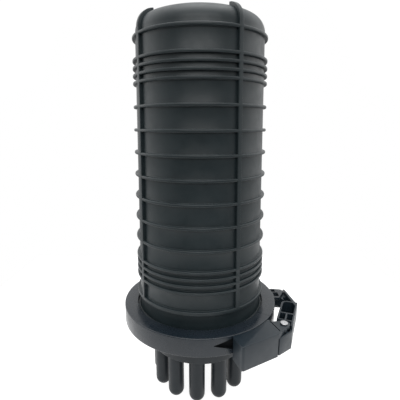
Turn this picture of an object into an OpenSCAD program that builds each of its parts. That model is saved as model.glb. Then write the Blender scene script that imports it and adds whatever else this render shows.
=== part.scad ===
// Dome splice closure: a ribbed dome on a base with sealed cable ports, held by a
// hinged V-groove hoop with an over-centre latch, over a stack of splice trays.
// The origin is the centre of the port circle on the base's underside, +Z is up
// and -Y is the front.  Directions round the axis are given as an azimuth from the
// front, counted towards +X.

/* [Dome] */
// Outer radius of the dome's wall at its rim band
dome_r = 82.4; // [76:0.1:88]
// Wall thickness of the dome
dome_wall = 3; // [2:0.1:4]
// Draft of the dome's wall, in degrees
dome_draft = 0.77; // [0.3:0.01:1.5]
// Height of the rim band above the seal plane
rim_rise = 31.1; // [24:0.1:40]
// Width of the rim band
rim_w = 5; // [3:0.1:8]
// Width of a ring rib
rib_w = 3.6; // [2:0.1:5]
// How far the ribs stand out of the wall
rib_out = 3.8; // [2:0.1:5]
// Rounding of the ribs' edges
rib_edge = 1; // [0.4:0.1:1.4]
// Number of ribs in each close group
group_count = 4; // [2:1:5]
// Spacing of the ribs in a close group
group_pitch = 8.6; // [7:0.1:10]
// Distance from a close group to the next single rib
group_gap = 25.5; // [16:0.1:32]
// Number of single ribs between the two groups
single_count = 7; // [4:1:8]
// Spacing of the single ribs
single_pitch = 27.2; // [20:0.1:30]
// Width of an upright rib
upright_w = 5.5; // [3:0.1:8]
// Azimuth of the first upright rib
upright_az = 32; // [20:1:45]
// Radius of the dome's shoulder
shoulder_r = 18; // [14:1:30]
// Radius of the dome's crown
crown_r = 200; // [150:1:260]
// How far an upright rib reaches in over the shoulder
upright_reach = 16; // [6:1:60]

/* [Base and ports] */
// Number of cable ports
port_count = 12; // [6:1:12]
// Outer radius of a port
port_r = 10.5; // [8:0.1:12]
// Wall thickness of a port
port_wall = 2.2; // [1.5:0.1:3]
// Radius of the circle that the ports stand on
port_circle_r = 57.5; // [54:0.1:62]
// Length of a port below the base
port_len = 61.6; // [40:0.1:110]
// Azimuth of the first port
port_turn = -4; // [-15:1:15]
// Thickness of the base's floor
floor_t = 6; // [4:0.1:8]
// Thickness of the base's side wall
skirt_wall = 4; // [3:0.1:6]
// Radius of the pillar that carries the bracket
pillar_r = 20; // [17:0.1:26]
// Height of the pillar above the floor
pillar_h = 24; // [14:1:30]

/* [Flanges and seal] */
// Height of the seal plane above the base's underside
seal_z = 48.2; // [40:0.1:56]
// Depth of the flanges outside the hoop's lip
flange_reach = 12.3; // [10:0.1:16]
// Thickness of each flange at the hoop's lip
flange_t = 8.2; // [7:0.1:9]
// Slope of the flanges' clamped faces, in degrees
flange_slope = 12; // [6:1:15]
// Radial width of the seal
seal_w = 5; // [3:0.1:7]
// Depth of the seal's groove in the base flange
seal_depth = 3.5; // [2:0.1:4.5]
// Distance of the seal inside the flanges' edge
seal_inset = 9; // [8:0.1:12]
// Width of the bead that stands on the dome's flange
bead_w = 1.3; // [0.8:0.1:1.8]
// Height of the bead
bead_h = 3.4; // [1:0.1:3.6]

/* [Hoop] */
// Thickness of the hoop's outer wall
hoop_wall = 5.3; // [4.5:0.1:8]
// Thickness of the hoop's lips at their edge
lip_t = 3.5; // [2.5:0.1:5]
// Azimuth of the split under the latch
split_az = 58; // [56:0.5:78]
// Azimuth of the hinge
hinge_az = -135; // [-160:1:-110]
// Radius of the hinge knuckles
knuckle_r = 5.5; // [5:0.1:6.5]
// Radius of the hinge pin
hinge_pin_r = 2.5; // [1.5:0.1:3]
// Depth of the finger scoop in the hoop's wall
scoop_depth = 3.9; // [1:0.1:4]
// Azimuth of the scoop's point
scoop_az = 8; // [0:1:14]
// Azimuth of the scoop's upright side
scoop_end_az = 25; // [20:1:30]

/* [Latch] */
// Azimuth of the lever's free end
lever_az = 21; // [19:0.5:23]
// Distance of the lever's free corner outside the hoop's wall
lever_out = 24.5; // [22:0.1:26]
// Distance of the lever's pin outside the hoop's wall
pivot_out = 20.2; // [19:0.1:23]
// Azimuth of the lever's pin
pivot_az = 56; // [54.5:0.1:58]
// Radius of the lever's pin
pivot_pin_r = 3; // [2.5:0.1:3.5]
// Distance from the lever's pin to the bar that pulls the link
crank = 10; // [9:0.1:11]
// Angle by which the closed bar is past dead centre, in degrees
over_centre = 8; // [5:1:11]
// Radius of the bar
bar_r = 2.5; // [2:0.1:2.7]
// Distance of the link's pin outside the hoop's wall
link_pin_out = 13; // [12:0.1:15]
// Azimuth of the link's pin
link_pin_az = 98; // [95:0.5:100]
// Radius of the link's pin
link_pin_r = 2.5; // [2:0.1:3]
// Thickness of the latch's walls
latch_wall = 2.4; // [1.8:0.1:2.5]
// How far the lever reaches below the hoop
lever_drop = 6.6; // [4:0.1:9]

/* [Inside] */
// Width of a tray
tray_w = 104; // [80:1:112]
// Length of a tray
tray_l = 200; // [160:1:230]
// Depth of a tray
tray_d = 10; // [7:0.1:11]
// Thickness of a tray's floor and rim
tray_t = 1.6; // [1:0.1:2]
// Thickness of the steel bracket
bracket_t = 2; // [1.5:0.1:3]
// Width of the steel bracket
bracket_w = 56; // [44:1:60]
// Distance from the dome's shoulder down to the bracket's top
bracket_drop = 44.4; // [30:0.1:60]
// Length of the tube basket
basket_l = 150; // [110:1:160]
// Depth of the tube basket
basket_d = 26; // [18:1:30]
// Radius of the screws
screw_r = 2; // [1.5:0.1:2.5]

/* [Hidden] */

// Clearance between pieces that move past each other
run_gap = 0.4;
// Radial clearance of a pin in the piece that turns on it
pin_gap = 0.05;
// Clearance between fitted pieces that don't move
seat_gap = 0.2;
// Length by which a cut runs past a face and a joined piece into its neighbour
over = 1;
// Radial clearance between the hoop's wall and the pieces outside it
wall_gap = 0.6;
// Distance of the base's side wall outside the ports
port_step = 2;

// Distance that an outline's corner lies inside a round that it runs into
bite = 0.3;

// Height of the shoulder's foot above the highest rib
shoulder_rise = 6;
// Distance from the dome's ribs to the hoop's lip, and from the lip to the bead
lip_gap = 0.8;
bead_inset = 1.4;

// Rounding of the hoop's outer edges and length of its hinge webs
hoop_edge = 1;
hinge_web = 9;
// Heads of the steel pins: how far they reach past the shank and how thick they are
pin_head_out = 1.6;
pin_head_h = 1.5;
lever_head_out = 2;
lever_head_h = 1.9;
// Corners of the finger scoop from the seal plane, and the rim left above it
scoop_point = 2.2;
scoop_low = -7.4;
scoop_rim = 1.4;
// Lug for the lever's pin: radius, half width of its web and azimuth of the web's root
lug_r = 6.5;
lug_half = 5.5;
lug_az = pivot_az - 4.5;
// Lug for the link's pin: radius round the pin, azimuths of its two ends and the turns
// from the outward direction at which its sides meet the round
lug_eye_r = 5.9;
lug_front_az = link_pin_az - 14;
lug_rear_az = link_pin_az + 3.6;
lug_low_az = link_pin_az - 2;
LUG_TURNS = [-48, 92];
LUG_LOW_TURNS = [-90, 92];
EYE_TURNS = [22, 192];
lug_front_reach = 8;
lug_rear_reach = 6;
lug_web = 2.4;
// Cells in that lug: number, spacing in degrees, size and distance from the hoop
cell_count = 3;
cell_step = 5.2;
cell_w = 5.4;
cell_l = 6.4;
cell_taper = 0.8;
cell_gap = 1.4;
// Radii of the lever's upper and lower ears and the metal round the bar
upper_ear_r = 7.6;
lower_ear_r = 7;
bar_wall = 1.4;
// How far the ears run into the handle and the bar's ends stay below their faces
ear_root = 10;
bar_cover = 1.2;
// Length by which the handle is cut away for the link's nose
nose_room = 40;
// Azimuth at which the handle ends beside the hoop
handle_az = pivot_az - 3.4;
// Turns at which the ears' sides meet their round, from the nose and from the step
ear_nose_turn = -70;
ear_step_turn = -75;
// Stiffening ribs in the handle: places along its front and depth
HANDLE_RIBS = [0.28, 0.56];
handle_rib = 9;
// Corners of the closed latch in plan, each an azimuth and a distance outwards from
// the lever's pin: seam and corner of the link's nose, and the two ends of the step
// between the handle and its upper ear
SEAM = [-11.9, 7];
CORNER = [-1.7, 12];
STEP_IN = [-2.5, -15.8];
STEP_OUT = [-8.5, 6.4];
// Rear corner and tail of the link in the same way, from the link's pin
REAR_CORNER = [-17.4, 17.2];
LINK_TAIL = [1.7, 10];

// Places of the inner pieces
inside_z = floor_t + pillar_h;
screw_depth = 10;
head_out = 1.8;
head_h = 2;
thread_gap = 0.1;
bracket_y = 16;
foot_l = 34;
foot_w = 40;
neck_h = 8;
lightening_r = 10;
lightening_pitch = 34;
lightening_inset = 4;
foot_screw_x = 12;
FOOT_SCREWS = [for (side = [-1, 1]) [side * foot_screw_x, bracket_y - foot_l / 2]];
holder_t = 5;
holder_rise = 42;
holder_z = inside_z + holder_rise;
holder_h = 70;
holder_cheek = 6;
tray_count = 4;
tray_gap = 1;
tongue_l = 9;
tongue_w = 28;
drum_end = 33;
tray_pitch = tray_d + tray_gap;
tray_y = bracket_y - holder_t - seat_gap;
tray_rise = 18;
tray_z = holder_z + tray_rise;
strap_up = 11;
front_y = tray_y - tray_count * tray_pitch + tray_gap - seat_gap;
strap_w = 16;
strap_t = 1.4;
basket_rise = 22;
basket_z = holder_z + basket_rise;
basket_w = 84;
basket_t = 2;
window_rows = 5;
window_pitch = 27;
window_w = 18;
clamp_h = 14;
cover_t = 1.5;
drum_r = 19;
pin_r = 1.5;
holder_screw_x = 16;
holder_screw_rise = 10;
HOLDER_SCREWS = [for (side = [-1, 1]) [side * holder_screw_x, holder_z + holder_screw_rise]];
basket_screw_pitch = 22;
BASKET_SCREWS = [for (i = [0, 1]) [0, basket_z + basket_l / 2 + i * basket_screw_pitch]];
clamp_inset = 6;
CLAMPS = [for (side = [-1, 1]) [side * foot_screw_x, bracket_y - foot_l + clamp_inset]];
strap_z = basket_z + basket_l + strap_up;
splice_w = 44;
splice_l = 38;
splice_room = 2.4;
splice_base = 2;
splice_d = tray_d - tray_t - splice_room;
groove_w = 3;
groove_pitch = 6.6;
groove_depth = splice_d - splice_base;
grooves = 6;
clamp_w = 10;
clamp_d = 8;
clamp_bore_r = 1.6;
clamp_bore_z = clamp_h - clamp_inset;
clamp_screw_r = 1.3;

// Sizes of the link, in its own directions: width of its box, distance of the box from
// the lever's ear, length past the rear corner and length of the front cells
box_w = 21;
box_gap = 1.3;
box_tail = 4.5;
front_cell = 18.4;
shoulder_cut = 8;
side_y0 = 6;
tail_wall = 3;
eye_wall = 1.6;
eye_web = 22;
nose_gap = 0.6;
claw_gap = 0.75;
// Claw: its foot on the nose, its depth and the length of its two fingers past the bar
claw_foot = 4;
claw_back = 2.6;
claw_depth = 7;
claw_front_finger = 0.6;
claw_front_turn = -55.5;
claw_rear_finger = 2.2;
claw_rear_turn = 168;
claw_inset = 0.8;
// How far the link and its nose stay from the planes of the hoop and the lever
link_drop = 2;
nose_rise = 1;

// Heights of the dome's features
rim_z = seal_z + rim_rise;
low_z = rim_z + group_gap;
single_z = low_z + (group_count - 1) * group_pitch + group_gap;
high_z = single_z + single_count * single_pitch;
top_rib_z = high_z + (group_count - 1) * group_pitch + group_gap;
shoulder_z = top_rib_z + shoulder_rise;
RING_ZS = concat(
    [for (i = [0:group_count - 1]) low_z + i * group_pitch],
    [for (i = [0:single_count - 1]) single_z + i * single_pitch],
    [for (i = [0:group_count - 1]) high_z + i * group_pitch],
    [top_rib_z]
);

// Radii and heights of the flanges and the hoop
lip_r = dome_r + rib_out + lip_gap;
flange_r = lip_r + flange_reach;
hoop_r = flange_r + run_gap + hoop_wall;
slope_drop = flange_reach * tan(flange_slope);
hoop_h = 2 * (flange_t + lip_t + run_gap);
hoop_z0 = seal_z - hoop_h / 2;
hoop_z1 = seal_z + hoop_h / 2;
skirt_r = port_circle_r + port_r + port_step;
cavity_r = skirt_r - skirt_wall;
bead_r = lip_r - bead_inset;
hinge_r = hoop_r + knuckle_r + wall_gap / 2;
hinge_step = hoop_h / 3;
end_gap = run_gap / 2 / hoop_r * 180 / PI;

// Latch points in plan
function at(az, r) = [r * sin(az), -r * cos(az)];
function turned(p, a) = [p[0] * cos(a) - p[1] * sin(a), p[0] * sin(a) + p[1] * cos(a)];
function heading(p) = atan2(p[1], p[0]);
function unit(p) = p / norm(p);
pivot = at(pivot_az, hoop_r + pivot_out);
link_pin = at(link_pin_az, hoop_r + link_pin_out);
bar = pivot + turned([crank, 0], heading(link_pin - pivot) + 180 - over_centre);
hinge = at(hinge_az, hinge_r);
function by_pivot(p) = at(pivot_az + p[0], hoop_r + pivot_out + p[1]);
function by_link_pin(p) = at(link_pin_az + p[0], hoop_r + link_pin_out + p[1]);
lever_tip = at(lever_az, hoop_r + lever_out);
seam = by_pivot(SEAM);
corner = by_pivot(CORNER);
step_in = by_pivot(STEP_IN);
step_out = by_pivot(STEP_OUT);
rear_corner = by_link_pin(REAR_CORNER);
link_tail = by_link_pin(LINK_TAIL);

// Directions along the lever's front and the link's nose and side
front_dir = unit(seam - lever_tip);
front_in = turned(front_dir, 90);
nose_dir = unit(corner - seam);
nose_in = turned(nose_dir, 90);
side_dir = unit(rear_corner - corner);
side_in = turned(side_dir, 90);
tail_dir = unit(link_tail - rear_corner);
tail_in = turned(tail_dir, 90);

// Lengths of the link's box along its side, from the corner of the nose
box_y0 = (pivot - corner) * side_dir + upper_ear_r + box_gap;
box_y1 = norm(rear_corner - corner) + box_tail;
cross_y = box_y0 + front_cell;

// Heights of the latch's layers
lever_z0 = hoop_z0 - lever_drop;
ear_t = 4.2;
ear_z1 = hoop_z1 - latch_wall;
ear_z0 = ear_z1 - ear_t;
low_ear_z1 = hoop_z0 - run_gap;
lug_z1 = ear_z0 - run_gap;
nose_z0 = lever_z0 + nose_rise;
link_z0 = hoop_z0 - link_drop;
eye_z0 = link_z0 + ear_t + run_gap;
eye_z1 = lug_z1;
nose_start = seam + nose_dir * nose_gap;
claw_z0 = hoop_z0 + claw_inset;
claw_z1 = lug_z1 - claw_inset;

// Radius of the dome's wall at a height
function wall_r(z) = dome_r - (z - rim_z) * tan(dome_draft);

// Height of the bracket and the lightening holes that fit above the basket's screws
bracket_h = shoulder_z - bracket_drop - inside_z;
lightening_z = inside_z + bracket_h - 2 * lightening_r - lightening_inset;
lightening_count = floor((lightening_z - BASKET_SCREWS[1][1] - 2 * lightening_r) / lightening_pitch) + 1;

// Points of an arc
function arc(centre, r, a0, a1, n) =
    [for (i = [0:n]) centre + r * [cos(a0 + (a1 - a0) * i / n), sin(a0 + (a1 - a0) * i / n)]];

// Outline of the dome from its foot to its crown, grown outwards by a distance
function dome_line(grow) =
    let (
        corner = [wall_r(shoulder_z) - shoulder_r, shoulder_z],
        crown = [0, shoulder_z - sqrt(pow(crown_r - shoulder_r, 2) - pow(corner[0], 2))],
        turn = heading(corner - crown)
    )
    concat(
        [[wall_r(seal_z) + grow, seal_z]],
        arc(corner, shoulder_r + grow, dome_draft, turn, 8),
        arc(crown, crown_r + grow, turn, 90, 5)
    );

// Profile of a ring rib with rounded edges, its foot inside the wall
module rib_profile(z, w, out) {
    r0 = wall_r(z) - 1;
    r1 = wall_r(z) + out - rib_edge;
    polygon(concat(
        [[r0, z - w / 2]],
        arc([r1, z - w / 2 + rib_edge], rib_edge, -90, 0, 3),
        arc([r1, z + w / 2 - rib_edge], rib_edge, 0, 90, 3),
        [[r0, z + w / 2]]
    ));
}

// Dome: thin drafted shell with ring ribs, upright ribs, a flange and a bead
module dome() {
    color([0.2, 0.22, 0.23])
    difference() {
        union() {
            rotate_extrude($fn = 96)
                polygon(concat([[0, seal_z]], dome_line(0)));
            for (z = RING_ZS)
                rotate_extrude($fn = 96) rib_profile(z, rib_w, rib_out);
            rotate_extrude($fn = 96) rib_profile(rim_z, rim_w, rib_out);
            for (i = [0:3])
                rotate(upright_az - 90 + 90 * i) upright_rib();
            rotate_extrude($fn = 96) dome_flange();
        }
        rotate_extrude($fn = 96)
            polygon(concat([[0, seal_z]], dome_line(-dome_wall)));
        translate([0, 0, seal_z - over]) cylinder(r = wall_r(seal_z) - dome_wall, h = over, $fn = 96);
    }
}

// Upright rib along +X, from the rim band over the shoulder onto the crown
module upright_rib() {
    rotate([90, 0, 0])
        linear_extrude(upright_w, center = true)
        intersection() {
            polygon(concat([[0, seal_z]], dome_line(rib_out)));
            translate([wall_r(shoulder_z) - upright_reach, rim_z])
                square([flange_r, shoulder_z + shoulder_r + crown_r]);
        }
}

// Flange of the dome with the sloping clamped face and the upright bead
module dome_flange() {
    polygon([
        [wall_r(seal_z) - 1, seal_z],
        [flange_r, seal_z],
        [flange_r, seal_z + flange_t - slope_drop],
        [lip_r, seal_z + flange_t],
        [wall_r(seal_z) - 1, seal_z + flange_t]
    ]);
    translate([bead_r - bead_w, seal_z + flange_t - over])
        square([bead_w, bead_h + over]);
}

// Base: floor, side wall and flange with closed ports below and a pillar inside
module base() {
    color([0.22, 0.23, 0.24])
    difference() {
        union() {
            cylinder(r = skirt_r, h = seal_z, $fn = 96);
            rotate_extrude($fn = 96) base_flange();
            for (i = [0:port_count - 1]) port_at(i) port_solid(port_r, port_len);
        }
        difference() {
            translate([0, 0, floor_t]) cylinder(r = cavity_r, h = seal_z, $fn = 96);
            cylinder(r = pillar_r, h = floor_t + pillar_h, $fn = 64);
        }
        for (i = [0:port_count - 1])
            port_at(i) {
                port_solid(port_r - port_wall, port_len - port_wall);
                cylinder(r = port_r - port_wall, h = floor_t + over, $fn = 32);
            }
        for (p = FOOT_SCREWS)
            translate([p[0], p[1], floor_t + pillar_h - screw_depth])
                cylinder(r = screw_r, h = screw_depth + over, $fn = 24);
    }
}

// Places its children on the axis of a port
module port_at(i) {
    rotate(port_turn - 90 + i * 360 / port_count)
        translate([port_circle_r, 0, 0]) children();
}

// Round finger below the base with a domed end
module port_solid(r, len) {
    translate([0, 0, r - len]) {
        cylinder(r = r, h = len - r + over, $fn = 32);
        sphere(r = r, $fn = 32);
    }
}

// Flange of the base with the sloping clamped face and the seal's groove
module base_flange() {
    difference() {
        polygon([
            [cavity_r + 1, seal_z],
            [flange_r, seal_z],
            [flange_r, seal_z - flange_t + slope_drop],
            [lip_r, seal_z - flange_t],
            [cavity_r + 1, seal_z - flange_t]
        ]);
        translate([flange_r - seal_inset - seat_gap, seal_z - seal_depth])
            square([seal_w + 2 * seat_gap, seal_depth + over]);
    }
}

// Seal: flat ring in the base flange's groove, pressed by the dome's flange
module flange_seal() {
    color([0.1, 0.1, 0.1])
    rotate_extrude($fn = 96)
        translate([flange_r - seal_inset, seal_z - seal_depth])
        square([seal_w, seal_depth]);
}

// Hoop section: channel with a V groove for the two flanges
module hoop_profile() {
    gap_r = hoop_r - hoop_wall;
    polygon(concat(
        [[lip_r, hoop_z0], [hoop_r - hoop_edge, hoop_z0], [hoop_r, hoop_z0 + hoop_edge]],
        [[hoop_r, hoop_z1 - hoop_edge], [hoop_r - hoop_edge, hoop_z1], [lip_r, hoop_z1]],
        [[lip_r, hoop_z1 - lip_t], [gap_r, hoop_z1 - lip_t - slope_drop]],
        [[gap_r, hoop_z0 + lip_t + slope_drop], [lip_r, hoop_z0 + lip_t]]
    ));
}

// Part of the hoop's ring between two azimuths
module hoop_arc(az0, az1) {
    rotate(az0 - 90) rotate_extrude(angle = az1 - az0, $fn = 120) hoop_profile();
}

// Hinge knuckle with a web to the hoop's wall, between two heights
module hinge_knuckle(z0, z1, side) {
    translate([0, 0, z0]) linear_extrude(z1 - z0) {
        translate(hinge) circle(r = knuckle_r, $fn = 48);
        rotate(hinge_az - 90)
            translate([hoop_r - hoop_wall / 2, side * run_gap - (side < 0 ? hinge_web : 0)])
            square([hoop_wall / 2 + knuckle_r / 2, hinge_web]);
    }
}

// Bore with an upright axis at a point in plan
module bore(p, r, z0, z1) {
    translate([p[0], p[1], z0]) cylinder(r = r, h = z1 - z0, $fn = 48);
}

// Flat plate between two heights from an outline in plan
module plate(z0, z1) {
    translate([0, 0, z0]) linear_extrude(z1 - z0) children();
}

// Strip in plan between two points, with a half width on each side
module strip(a, b, half) {
    side = turned(unit(b - a), 90) * half;
    polygon([a + side, b + side, b - side, a - side]);
}

// Fixed half of the hoop: the front arc with the lug for the latch lever
module hoop_front() {
    color([0.25, 0.26, 0.28])
    difference() {
        union() {
            hoop_arc(hinge_az + end_gap, split_az - end_gap);
            hinge_knuckle(hoop_z0, hoop_z0 + hinge_step - run_gap, 1);
            hinge_knuckle(hoop_z1 - hinge_step + run_gap, hoop_z1, 1);
            plate(hoop_z0, lug_z1) {
                translate(pivot) circle(r = lug_r, $fn = 48);
                strip(pivot, at(lug_az, hoop_r - hoop_wall / 2), lug_half);
            }
        }
        bore(hinge, hinge_pin_r + pin_gap, hoop_z0 - over, hoop_z1 + over);
        bore(pivot, pivot_pin_r + pin_gap, hoop_z0 - over, hoop_z1 + over);
        finger_scoop();
    }
}

// Three-cornered recess in the hoop's wall beside the lever's free end
module finger_scoop() {
    half = hoop_r * sin((scoop_end_az - scoop_az) / 2);
    rotate((scoop_az + scoop_end_az) / 2)
        translate([0, -hoop_r + scoop_depth, 0]) rotate([90, 0, 0])
        linear_extrude(2 * scoop_depth)
        polygon([
            [-half, seal_z + scoop_point], [half, seal_z + scoop_low], [half, hoop_z1 - scoop_rim]
        ]);
}

// Moving half of the hoop: the rear arc with the forked lug for the link
module hoop_rear() {
    color([0.25, 0.26, 0.28])
    difference() {
        union() {
            hoop_arc(split_az + end_gap, hinge_az + 360 - end_gap);
            hinge_knuckle(hoop_z0 + hinge_step, hoop_z1 - hinge_step, -1);
            plate(link_z0, link_z0 + ear_t) link_lug([at(lug_low_az, hoop_r - over)], LUG_LOW_TURNS);
            difference() {
                plate(ear_z0, ear_z1)
                    link_lug([for (reach = [-over, lug_front_reach])
                        at(lug_front_az, hoop_r + reach)], LUG_TURNS);
                lug_cells();
            }
            plate(link_z0, ear_z1)
                strip(at(lug_rear_az, hoop_r - over), at(lug_rear_az, hoop_r + lug_rear_reach), lug_web / 2);
        }
        bore(hinge, hinge_pin_r + pin_gap, hoop_z0 - over, hoop_z1 + over);
        bore(link_pin, link_pin_r + pin_gap, link_z0 - over, ear_z1 - lug_web / 2);
    }
}

// Outline of one plate of the link's lug, from the hoop's wall to the pin
module link_lug(front, turns) {
    difference() {
        union() {
            translate(link_pin) circle(r = lug_eye_r, $fn = 48);
            polygon(concat(
                front,
                [for (a = turns) link_pin + turned([lug_eye_r - bite, 0], link_pin_az - 90 + a)],
                [for (reach = [lug_rear_reach, 0]) at(lug_rear_az + 1, hoop_r + reach - over)]
            ));
        }
        circle(r = hoop_r - 2 * over, $fn = 120);
    }
}

// Cells that core out the upper plate beside the hoop's wall
module lug_cells() {
    for (i = [0:cell_count - 1])
        plate(ear_z0 - over, ear_z1 + over)
            rotate(lug_front_az + (i + 0.5) * cell_step - 90)
            translate([hoop_r + cell_gap, 0]) square([cell_w - cell_taper * i, cell_l]);
}

// Steel pin of the hoop's hinge with a head at each end
module hoop_hinge_pin() {
    color([0.75, 0.75, 0.75]) {
        bore(hinge, hinge_pin_r, hoop_z0 - pin_head_h, hoop_z1 + seat_gap);
        bore(hinge, hinge_pin_r + pin_head_out, hoop_z1 + seat_gap, hoop_z1 + seat_gap + pin_head_h);
    }
}

// Latch lever: hollow handle open to the hoop, with two ears for its pin
module latch_lever() {
    color([0.27, 0.28, 0.3])
    difference() {
        union() {
            difference() {
                plate(lever_z0, hoop_z1) lever_outline();
                plate(lever_z0 + latch_wall, ear_z1)
                    translate((front_dir + front_in) * latch_wall) lever_outline();
                plate(lever_z0 - over, lug_z1)
                    translate(seam) polygon([[0, 0], front_dir * nose_room, nose_in * nose_room]);
            }
            plate(ear_z0, ear_z1) lever_ear(step_out, upper_ear_r);
            plate(lever_z0 + latch_wall / 2, low_ear_z1)
                lever_ear(seam + front_in * 2 * latch_wall, lower_ear_r);
            for (k = HANDLE_RIBS)
                plate(lever_z0, hoop_z1) intersection() {
                    lever_outline();
                    translate(lever_tip + (seam - lever_tip) * k)
                        strip([0, 0], front_in * handle_rib, latch_wall / 2);
                }
        }
        bore(pivot, pivot_pin_r + pin_gap, lever_z0 - over, hoop_z1 + over);
        bore(bar, bar_r + pin_gap, lever_z0 + bar_cover - seat_gap, ear_z1 - bar_cover + seat_gap);
    }
}

// Outline of the lever's handle in plan
module lever_outline() {
    polygon(concat(
        [lever_tip, seam, step_out, step_in],
        [for (i = [0:8]) at(handle_az + (lever_az - handle_az) * i / 8, hoop_r + wall_gap)]
    ));
}

// Outline of an ear: from inside the handle to the pin, past the bar
module lever_ear(front, r) {
    ray = unit(step_in - pivot);
    difference() {
        union() {
            translate(pivot) circle(r = r, $fn = 64);
            translate(bar) circle(r = bar_r + bar_wall, $fn = 48);
            polygon([
                step_in, step_in - front_dir * ear_root, front - front_dir * ear_root, front,
                bar - nose_in * bar_r, pivot + turned([r - bite, 0], heading(nose_dir) + ear_nose_turn),
                pivot + turned([r - bite, 0], heading(ray) + ear_step_turn)
            ]);
        }
        circle(r = hoop_r + wall_gap, $fn = 120);
    }
}

// Link: cored strut from the lever's bar to the pin on the moving half
module latch_link() {
    color([0.27, 0.28, 0.3])
    difference() {
        union() {
            difference() {
                plate(link_z0, ear_z1) in_link() link_box();
                plate(link_z0 + latch_wall, ear_z1 + over) in_link() link_cells();
            }
            plate(nose_z0, ear_z1) in_link()
                translate([-latch_wall, side_y0]) square([latch_wall, box_y0 + over - side_y0]);
            plate(nose_z0, lug_z1) in_link()
                translate([-latch_wall, 0]) square([latch_wall, side_y0 + over]);
            plate(nose_z0, lug_z1)
                polygon([
                    nose_start, corner, corner + side_dir * over,
                    corner + side_dir * over + side_in * latch_wall, nose_start + nose_in * latch_wall
                ]);
            plate(claw_z0, claw_z1) claw();
            plate(link_z0, ear_z1)
                polygon([
                    rear_corner, link_tail, link_tail + tail_in * tail_wall,
                    rear_corner + (tail_in - side_dir) * tail_wall
                ]);
            plate(eye_z0, eye_z1) link_eye();
        }
        bore(link_pin, link_pin_r + pin_gap, eye_z0 - over, eye_z1 + over);
    }
}

// Places its children in the link's own directions: +Y along its side, +X outwards
module in_link() {
    translate(corner) rotate(heading(side_dir) - 90) children();
}

// Outline of the cored box of the link, with a rounded inner shoulder
module link_box() {
    difference() {
        translate([-box_w, box_y0]) square([box_w, box_y1 - box_y0]);
        translate([-box_w, box_y1 - shoulder_cut]) shoulder_corner(shoulder_cut);
    }
}

// What a rounded upper left corner takes off a square of a given size
module shoulder_corner(r) {
    difference() {
        translate([-over, 0]) square([r + over, r + over]);
        translate([r, 0]) circle(r = r, $fn = 48);
    }
}

// Cells of the link's box: one large cell at the rear and two beside each other
module link_cells() {
    inner = box_w - 2 * latch_wall;
    translate([-box_w + latch_wall, cross_y + latch_wall / 2]) difference() {
        square([inner, box_y1 - latch_wall * 1.5 - cross_y]);
        translate([0, box_y1 - latch_wall * 1.5 - cross_y - shoulder_cut + latch_wall])
            shoulder_corner(shoulder_cut - latch_wall);
    }
    for (x = [-box_w + latch_wall, -box_w / 2 - latch_wall / 4 + latch_wall / 2])
        translate([x, box_y0 + latch_wall])
            square([inner / 2 - latch_wall / 2, cross_y - latch_wall * 1.5 - box_y0]);
}

// Claw on the nose's inner face that takes hold of the bar
module claw() {
    hold_r = bar_r + claw_gap;
    difference() {
        polygon([
            nose_start + nose_dir * claw_foot + nose_in * (latch_wall - seat_gap),
            corner - nose_dir * claw_back + nose_in, corner - nose_dir * claw_back + nose_in * claw_depth,
            bar + turned([hold_r + claw_front_finger, 0], heading(nose_dir) + claw_front_turn),
            bar, bar + turned([hold_r + claw_rear_finger, 0], heading(link_pin - pivot) + claw_rear_turn)
        ]);
        translate(bar) circle(r = hold_r, $fn = 48);
        translate(pivot) circle(r = lug_r + run_gap, $fn = 48);
    }
}

// Web from the box and the outer wall to the eye on the link's pin
module link_eye() {
    r = lug_eye_r + eye_wall;
    translate(link_pin) circle(r = r, $fn = 48);
    polygon([
        for (a = EYE_TURNS) link_pin + turned([r - bite, 0], link_pin_az - 90 + a),
        link_pin - tail_dir * eye_web - tail_in, rear_corner + tail_in * tail_wall / 2,
        link_tail + tail_in * tail_wall / 2
    ]);
}

// Steel pin of the lever with a turned head
module lever_pin() {
    color([0.85, 0.85, 0.85]) {
        bore(pivot, pivot_pin_r, lever_z0 + seat_gap, ear_z1 + seat_gap);
        bore(pivot, pivot_pin_r + lever_head_out, ear_z1 + seat_gap, ear_z1 + seat_gap + lever_head_h);
    }
}

// Steel bar in the lever's ears that pulls the link
module latch_bar() {
    color([0.7, 0.7, 0.7]) bore(bar, bar_r, lever_z0 + bar_cover, ear_z1 - bar_cover);
}

// Steel pin of the link, pressed in from below
module link_pin() {
    color([0.7, 0.7, 0.7]) {
        bore(link_pin, link_pin_r, link_z0 - seat_gap, ear_z1 - lug_web / 2 - seat_gap);
        bore(link_pin, link_pin_r + pin_head_out, link_z0 - seat_gap - pin_head_h, link_z0 - seat_gap);
    }
}

// Steel bracket: foot on the base's pillar and an upright with lightening holes
module tray_bracket() {
    color([0.7, 0.72, 0.74])
    difference() {
        union() {
            translate([-foot_w / 2, bracket_y - foot_l, inside_z]) cube([foot_w, foot_l, bracket_t]);
            translate([-bracket_w / 2, bracket_y - bracket_t, inside_z + neck_h])
                cube([bracket_w, bracket_t, bracket_h - neck_h]);
            translate([-foot_w / 2, bracket_y - bracket_t, inside_z])
                cube([foot_w, bracket_t, neck_h + over]);
        }
        for (p = FOOT_SCREWS) bore(p, screw_r + seat_gap, inside_z - over, inside_z + bracket_t + over);
        for (i = [0:1:lightening_count - 1])
            cross_bore(
                [0, lightening_z - i * lightening_pitch],
                bracket_y - bracket_t - over, bracket_t + 2 * over, lightening_r
            );
        for (p = concat(HOLDER_SCREWS, BASKET_SCREWS))
            cross_bore(p, bracket_y - bracket_t - over, bracket_t + 2 * over, screw_r + seat_gap);
    }
}

// Bore along Y from a point in the bracket's plane
module cross_bore(p, y, depth, r) {
    translate([p[0], y, p[1]]) rotate([-90, 0, 0]) cylinder(r = r, h = depth, $fn = 32);
}

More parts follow.
